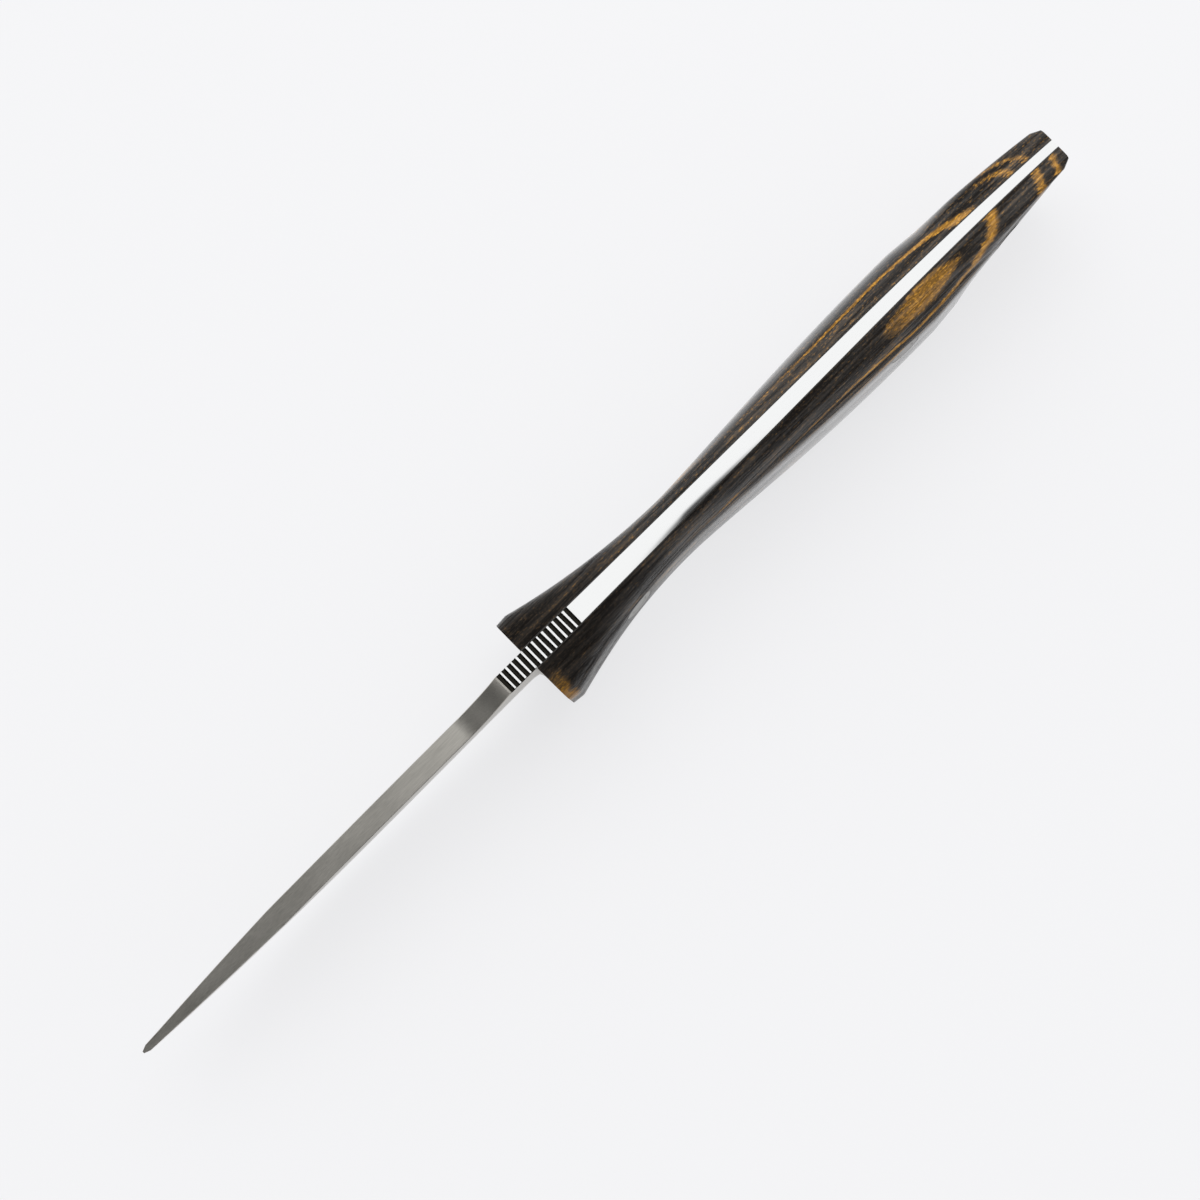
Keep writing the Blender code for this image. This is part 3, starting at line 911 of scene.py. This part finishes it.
def noise(tree, x, y, z, detail=4.0, roughness=0.5):
    """Smooth noise around one half."""
    return Term(add_node(tree, "ShaderNodeTexNoise", {
        "Vector": vector(tree, x, y, z), "Scale": 1.0, "Detail": detail, "Roughness": roughness,
    }).outputs["Fac"])


def ramp(value, stops):
    """A colour for each value: stops are pairs of a place from 0 to 1 and a colour."""
    node = add_node(value.socket.id_data, "ShaderNodeValToRGB", {"Fac": value})
    while len(node.color_ramp.elements) < len(stops):
        node.color_ramp.elements.new(1.0)
    for element, (place, colour) in zip(node.color_ramp.elements, stops):
        element.position = place
        element.color = (*colour, 1.0)
    return node.outputs["Color"]


def blend_colour(part, low, high):
    """Goes from one colour to another. A Mix node keeps its colour sockets at 6, 7 and, coming out, 2."""
    node = add_node(part.socket.id_data, "ShaderNodeMix", {0: part, 6: low, 7: high}, data_type="RGBA")
    return node.outputs[2]


def raise_surface(shader, height, distance, strength):
    tree = shader.id_data
    bump = add_node(tree, "ShaderNodeBump", {"Height": height, "Distance": distance, "Strength": strength})
    plug(bump.outputs["Normal"], shader.inputs["Normal"])


def marked(tree, name):
    return Term(add_node(tree, "ShaderNodeAttribute", attribute_name=name).outputs["Fac"])


# %% [markdown]
# ### Satin steel
#
# A belt leaves fine scratches along the blade, so the noise is stretched a long way in X and is narrow
# in the other two directions; its numbers are waves per metre. The top of the tang was polished brighter
# with the handle. The filed grooves are rough, and their near-black colour is painted shade in the
# recesses.
# Those two read the marks that the steel's tree has left on its faces.

# %% Steel finish
def finish_steel(material):
    tree, shader, (x, y, z) = start_finish(material)
    polish = marked(tree, "polish")
    filed_and_shaded = marked(tree, "filed_and_shaded")
    lines = noise(tree, x * 300.0, y * 9000.0, z * 9000.0, 2.0)
    patches = noise(tree, x * 90.0, y * 400.0, z * 400.0, 3.0)
    grain = lines * 0.6 + patches * 0.4
    satin = ramp(grain, ((0.3, (0.37, 0.353, 0.32)), (0.7, (0.55, 0.527, 0.48))))
    steel = blend_colour(polish, satin, (0.84, 0.838, 0.83, 1.0))
    # The near-black groove colour is painted shade in the recesses of the jimping; only the roughness is
    # the filed finish.
    plug(blend_colour(filed_and_shaded, steel, (0.03, 0.027, 0.022, 1.0)), shader.inputs["Base Color"])
    shader.inputs["Metallic"].default_value = 1.0
    roughness = between(0.28 + grain * 0.10, 0.06 + grain * 0.03, polish)
    plug(choose(filed_and_shaded, 0.55, roughness), shader.inputs["Roughness"])
    raise_surface(shader, lines * (1.0 - polish * 0.8), 0.00001, 0.25)


finish_steel(satin_steel)
print("satin_steel:", len(satin_steel.node_tree.nodes), "nodes")

# %% [markdown]
# ### Bolts and tube
#
# The ends of the bolts and the tube were sanded with the wood and are dull, with no direction in the
# scratches. Noise of one scale in all directions gives that, in the colour and in the roughness.

# %% Bolt finish
def finish_bright(material):
    tree, shader, (x, y, z) = start_finish(material)
    grain = noise(tree, x * 1200.0, y * 1200.0, z * 1200.0, 3.0)
    colour = ramp(grain, ((0.3, (0.19, 0.185, 0.175)), (0.7, (0.26, 0.253, 0.24))))
    plug(colour, shader.inputs["Base Color"])
    shader.inputs["Metallic"].default_value = 1.0
    plug(0.25 + grain * 0.15, shader.inputs["Roughness"])


finish_bright(bright_steel)
print("bright_steel:", len(bright_steel.node_tree.nodes), "nodes")

# %% [markdown]
# ### Epoxy
#
# The glue is nearly black and slightly cloudy, where dust from the grinding has stuck in it. It is so thin
# that a gentle noise is all it needs.

# %% Epoxy finish
def finish_epoxy(material):
    tree, shader, (x, y, z) = start_finish(material)
    cloud = noise(tree, x * 800.0, y * 800.0, z * 800.0, 3.0)
    colour = ramp(cloud, ((0.3, (0.012, 0.010, 0.009)), (0.7, (0.03, 0.026, 0.022))))
    plug(colour, shader.inputs["Base Color"])
    plug(0.35 + cloud * 0.2, shader.inputs["Roughness"])


finish_epoxy(dark_epoxy)
print("dark_epoxy:", len(dark_epoxy.node_tree.nodes), "nodes")

# %% [markdown]
# ### Wood
#
# The wood is almost black, with brown streaks along the grain and golden growth rings towards the butt.
# Growth rings are sheets, and on a curved handle they surface as nested arches. So the rule is a ring
# number that is 1 on the largest arch: it grows with the distance from the middle of the knife and,
# behind a certain place, with the distance along the handle. The two scales come from different boards
# and have arches of their own. A table of stops turns the ring number into light and dark. Lengths in the
# wood's rules are millimetres, along from the front of the scales and down from the spine.

# %% Growth rings
MM = 1000.0
RING_LEAN = math.radians(6.0)
RING_START = 76.0
LEFT_RING = SimpleNamespace(length=37.0, reach=7.1, power=3.2, line=1.9, close=1.5, tail=1.0)
RIGHT_RING = SimpleNamespace(length=34.5, reach=4.2, power=2.6, line=0.95, close=0.9, tail=0.8)
OUTER_RINGS = 1.15
RINGS_END = 1.6
RINGS = (
    (0.00, 0.04), (0.92, 0.05), (0.95, 0.60), (1.00, 0.80), (1.03, 0.50), (1.06, 0.05),
    (1.25, 0.05), (1.28, 0.55), (1.31, 0.65), (1.33, 0.08), (1.38, 0.08), (1.40, 0.60), (1.42, 0.60),
    (1.44, 0.06), (1.60, 0.05),
)


def growth(along, sheet):
    """1 on the main ring of each scale, less towards the tang and the front, more outside it."""
    left = above(sheet, 0.0)
    length = choose(left, LEFT_RING.length, RIGHT_RING.length)
    reach = choose(left, LEFT_RING.reach, RIGHT_RING.reach)
    power = choose(left, LEFT_RING.power, RIGHT_RING.power)
    reach = reach * (1.0 - 0.12 * share(along, 90.0, 74.0) + 0.3 * share(along, 108.0, 120.0))
    closing = calculate("MAXIMUM", along - RING_START, 0.0) / length
    spread = calculate("ABSOLUTE", sheet) / reach
    return (closing ** power + spread ** power) ** (1.0 / power)


def ring_lines(along, sheet, wobble):
    """Light and dark of the rings, which are fine lines at first and broaden where they close."""
    left = above(sheet, 0.0)
    ring = growth(along, sheet) + wobble
    line = choose(left, LEFT_RING.line, RIGHT_RING.line)
    close = choose(left, LEFT_RING.close, RIGHT_RING.close)
    sharpness = between(line, close, share(along, 96.0, 108.0))
    outer = above(ring, OUTER_RINGS)
    ring = choose(outer, ring, 1.0 + (ring - 1.0) * sharpness)
    tones = ramp(ring / RINGS_END, [(at / RINGS_END, (tone,) * 3) for at, tone in RINGS])
    tail = share(along, 112.0, 117.0) * choose(left, LEFT_RING.tail, RIGHT_RING.tail)
    return Term(tones) * choose(outer, tail, 1.0) * between(0.12, 1.0, share(along, 48.0, 80.0))


# %% [markdown]
# Two marks do not belong to the rings. On the left scale the surface just touches a light ring from
# above, which leaves a golden eye behind the palm, and the same scale has a golden front edge where the
# bevel cuts into lighter wood.

# %% Golden marks
EYE_MIDDLE, EYE_HALF_LENGTH = 93.9, 10.6
EYE_SHEET, EYE_HALF_WIDTH = 3.45, 2.05


def golden_eye(along, across, sheet, warp):
    lengthwise = (along - EYE_MIDDLE) / EYE_HALF_LENGTH
    middle = EYE_SHEET + 0.9 * share(along, EYE_MIDDLE, EYE_MIDDLE - EYE_HALF_LENGTH)
    crosswise = (sheet - middle) / EYE_HALF_WIDTH
    size = lengthwise * lengthwise + crosswise * crosswise + warp * 2.2
    brightness = between(0.28, 0.58, share(along + sheet * 1.5, 89.0, 97.0))
    return (1.0 - share(size, 0.6, 1.1)) * above(across, 0.0) * brightness


def golden_edge(along, across, depth, warp):
    front = 1.0 - share(along + warp * 4.0, 1.4, 2.8)
    return front * share(across, 3.0, 8.5) * (1.0 - share(depth, 11.0, 18.0)) * 0.58


# %% [markdown]
# Noise makes the grain: short fibres and pores for the flecks, long streaks that follow the sheets, and
# a slow warp that keeps the rings from looking drawn. Its numbers are waves per millimetre, few along
# the handle and many across it. The streaks and flecks of the left scale are painted darker, as painted
# shade for the side turned away from the softbox, and both scales are darkest at the front.

# %% Grain and tone
# Painted shade: the left scale, turned away from the softbox, has its streaks and flecks darkened to this
# share.
LEFT_SHADE_FACTOR, RIGHT_SHADE_FACTOR = 0.75, 1.0


def wood_grain(tree, along, across, depth, sheet):
    return SimpleNamespace(
        fibres=noise(tree, along * 0.7, across * 4.5, depth * 4.5, 3.0, 0.65),
        pores=noise(tree, along * 1.6, sheet * 3.2, depth * 1.6, 2.0, 0.6),
        streaks=noise(tree, along * 0.04, sheet * 1.0, depth * 0.42, 4.0, 0.65),
        warp=noise(tree, along * 0.08, across * 0.4, depth * 0.4, 3.0) - 0.5,
    )


def wood_tone(grain, along, across, depth, sheet):
    """From 0, where the wood is nearly black, to 1, where it is golden."""
    lines = ring_lines(along, sheet, grain.warp * 0.08 + (grain.fibres - 0.5) * 0.08)
    eye = golden_eye(along, across, sheet, grain.warp)
    edge = golden_edge(along, across, depth, grain.warp)
    marks = calculate("MAXIMUM", lines, calculate("MAXIMUM", eye, edge))
    gold = marks * (0.20 + grain.fibres * 0.70 + grain.pores * 0.60)
    by_tang = 1.0 - share(calculate("ABSOLUTE", across), 2.2, 4.6)
    on_flank = share(depth, 2.0, 5.0)
    brown = share(grain.streaks, 0.50, 0.70) * (0.20 + by_tang * 0.16 + on_flank * 0.65)
    flecks = share(grain.fibres * 0.5 + grain.pores * 0.5, 0.51, 0.66) * 0.46
    # Painted shade on the left scale, the side away from the light: its streaks and flecks are darker.
    side_shade = choose(above(across, 0.0), LEFT_SHADE_FACTOR, RIGHT_SHADE_FACTOR)
    return gold + (brown + flecks) * side_shade * between(0.55, 1.0, share(along, 12.0, 40.0))


# %% [markdown]
# The shine is an oil finish. It grows from the dry front towards the palm, and some streaks have drunk
# more oil than others. A hand has rubbed a gloss, which is the shader's coat, low on the left side and
# from the ridge outwards on the right; above that gloss the left flank is dull. Grain in the bump and in
# the roughness breaks up the reflections.

# %% Oil and wood finish
SHEEN = 0.25
DARK_TO_GOLD = (
    (0.00, (0.0055, 0.0045, 0.0038)),
    (0.15, (0.020, 0.0145, 0.0100)),
    (0.35, (0.080, 0.046, 0.017)),
    (0.60, (0.27, 0.128, 0.018)),
    (0.90, (0.53, 0.265, 0.040)),
)


def oil_wood(shader, grain, along, across, depth):
    left = above(across, 0.0)
    dull = left * share(depth, 2.5, 5.0) * (1.0 - share(depth, 8.5, 14.0))
    rubbed = choose(left, share(depth, 10.0, 15.0), share(depth, 1.5, 3.0)) * share(along, 20.0, 60.0)
    oiled = between(0.25, 1.7, share(grain.streaks, 0.40, 0.60))
    shine = between(0.08, 0.36, share(along, 8.0, 45.0)) * oiled * (1.0 - dull * 0.95)
    plug(shine, shader.inputs["Specular IOR Level"])
    plug(0.10 + grain.streaks * 0.28 + grain.fibres * 0.10, shader.inputs["Roughness"])
    plug(rubbed * 0.9, shader.inputs["Coat Weight"])
    shader.inputs["Coat IOR"].default_value = 1.9
    shader.inputs["Coat Roughness"].default_value = 0.2
    plug(SHEEN - dull * SHEEN, shader.inputs["Sheen Weight"])
    shader.inputs["Sheen Roughness"].default_value = 0.3
    raise_surface(shader, grain.fibres * 0.4 + grain.streaks * 1.8, 0.00020, 0.7)


def finish_wood(material):
    tree, shader, (x, y, z) = start_finish(material)
    along = (FRONT_X - x) * MM
    depth = (handle_top(SimpleNamespace(**HANDLE), FRONT_X - x) + REST_Z - z) * MM
    across = y * MM
    sheet = across * math.cos(RING_LEAN) + depth * math.sin(RING_LEAN)
    grain = wood_grain(tree, along, across, depth, sheet)
    tone = wood_tone(grain, along, across, depth, sheet)
    plug(ramp(tone, DARK_TO_GOLD), shader.inputs["Base Color"])
    oil_wood(shader, grain, along, across, depth)


finish_wood(dark_wood)
print("dark_wood:", len(dark_wood.node_tree.nodes), "nodes")

# %% [markdown]
# ## White table
#
# The picture is a catalogue shot on white. The floor is matt and pale, and to the camera and in
# reflections most of its brightness is its own, as if lit from below: that keeps the white even and
# leaves only a soft shadow. Light that bounces on from the floor meets the plain paint.

# %% Lay the floor
bpy.context.scene.view_settings.view_transform = "Standard"
FLOOR_REACH = 4.0
FLOOR_COLOUR = (0.876, 0.876, 0.889, 1.0)
LIFT = 0.82
floor_mesh = bpy.data.meshes.new("floor")
corners = [(-1, -1), (1, -1), (1, 1), (-1, 1)]
floor_mesh.from_pydata([(FLOOR_REACH * x, FLOOR_REACH * y, 0.0) for x, y in corners], [], [(0, 1, 2, 3)])
floor = bpy.data.objects.new("floor", floor_mesh)
bpy.context.scene.collection.objects.link(floor)


def seen_directly(tree):
    """1 for what the camera, a reflection or clear glass sees, 0 for light that bounces on."""
    rays = tree.nodes.new("ShaderNodeLightPath")
    seen = calculate("MAXIMUM", Term(rays.outputs["Is Camera Ray"]), Term(rays.outputs["Is Glossy Ray"]))
    return calculate("MAXIMUM", seen, Term(rays.outputs["Is Transmission Ray"]))


floor_paint = bpy.data.materials.new("floor_paint")
floor_paint.use_nodes = True
tree = floor_paint.node_tree
paint = tree.nodes["Principled BSDF"]
paint.inputs["Base Color"].default_value = FLOOR_COLOUR
paint.inputs["Roughness"].default_value = 0.9
paint.inputs["Specular IOR Level"].default_value = 0.0
glow = add_node(tree, "ShaderNodeEmission", {"Color": FLOOR_COLOUR, "Strength": 1.0})
both = add_node(tree, "ShaderNodeMixShader", {
    0: seen_directly(tree) * LIFT,
    1: paint.outputs[0],
    2: glow.outputs[0],
})
plug(both.outputs[0], tree.nodes["Material Output"].inputs["Surface"])
floor_mesh.materials.append(floor_paint)
print(f"floor {2 * FLOOR_REACH:.0f} m wide, {LIFT:.0%} of it glowing to the camera")

# %% [markdown]
# ## Softbox
#
# One large softbox, high above the butt and a little to the knife's right, gives the shadow its direction.
# It is kept out of reflections, because the sky of the next step is easier to shape than a lamp.

# %% Hang the softbox
lamp = bpy.data.objects.new("softbox", bpy.data.lights.new("softbox", "AREA"))
lamp.data.shape = "RECTANGLE"
lamp.data.size, lamp.data.size_y = 1.5, 1.2
lamp.data.energy = 16.0
lamp.location = (-0.55, -0.45, 1.3)
lamp.visible_glossy = False
lamp.rotation_euler = Vector(lamp.location).to_track_quat("Z", "Y").to_euler()
bpy.context.scene.collection.objects.link(lamp)
print(f"softbox {lamp.data.size:.1f} x {lamp.data.size_y:.1f} m, {lamp.data.energy:.0f} W")

# %% [markdown]
# ## Sky
#
# Steel looks like what it mirrors, so the sky is painted by direction. It is bright overhead and along
# the knife's right side, and falls off quickly towards the tip and the left side. That edge makes the
# spine darken towards the tip, and it keeps the left scale black between the polished tang and the
# reflection of the floor. A dim panel ahead of the tip shows in the hollow of the ramp. The camera
# itself sees plain white.

# %% Paint the sky
SKY_DARK, SKY_BRIGHT = 0.08, 1.1
BACKDROP = 0.93
world = bpy.data.worlds.new("studio")
bpy.context.scene.world = world
world.use_nodes = True
tree = world.node_tree
dx, dy, dz = parts_of(add_node(tree, "ShaderNodeTexCoord").outputs["Generated"])
overhead = ease(share(dz * 0.7 - dx * 4.0 - dy * 0.60, 0.02, 0.32))
beside = ease(share(-dy, 0.3, 0.7)) * 0.9
ahead = (ease(share(dx, 0.36, 0.56)) - 0.7 * ease(share(dx, 0.60, 0.90))) * 0.26
brightest = calculate("MAXIMUM", calculate("MAXIMUM", overhead, beside), ahead)
sky = between(SKY_DARK, SKY_BRIGHT, brightest)
to_camera = Term(tree.nodes.new("ShaderNodeLightPath").outputs["Is Camera Ray"])
plug(choose(to_camera, BACKDROP, sky), tree.nodes["Background"].inputs["Strength"])
tree.nodes["Background"].inputs["Color"].default_value = (0.98, 0.99, 1.0, 1.0)
print(f"sky from {SKY_DARK} to {SKY_BRIGHT}")
